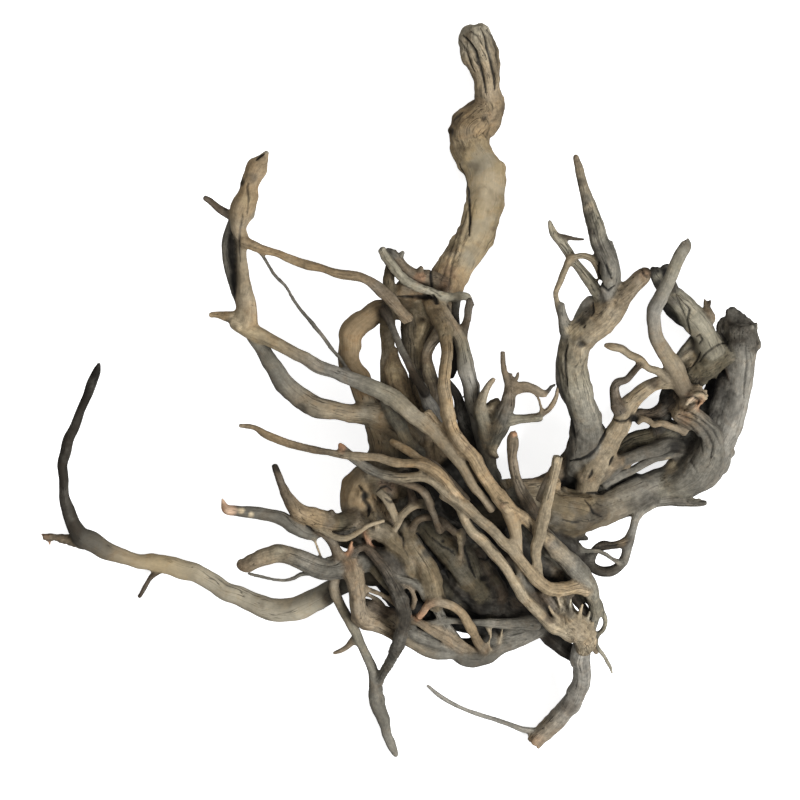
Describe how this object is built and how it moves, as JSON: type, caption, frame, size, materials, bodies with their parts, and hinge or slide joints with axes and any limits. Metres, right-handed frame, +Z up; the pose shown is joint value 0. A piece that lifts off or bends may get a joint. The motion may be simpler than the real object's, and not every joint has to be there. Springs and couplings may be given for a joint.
{
  "type": "moor wood root",
  "caption": "Weathered grey-brown driftwood root lying flat, with heavy gnarled trunks, a dense tangle of fused limbs and long thin rootlets.",
  "frame": {"origin": "bottom centre of the bounding box, on the surface that the root lies on", "axes": "+Z up from that surface, +Y towards the tip of the long pale trunk, +X towards the heavy trunk with the jagged cut end"},
  "size_m": [0.5808, 0.5922, 0.1643],
  "materials": {
    "wood": "weathered, matt, streaked along the grain"
  },
  "bodies": {
    "root": {"moor_root": "wood"}
  },
  "joints": []
}
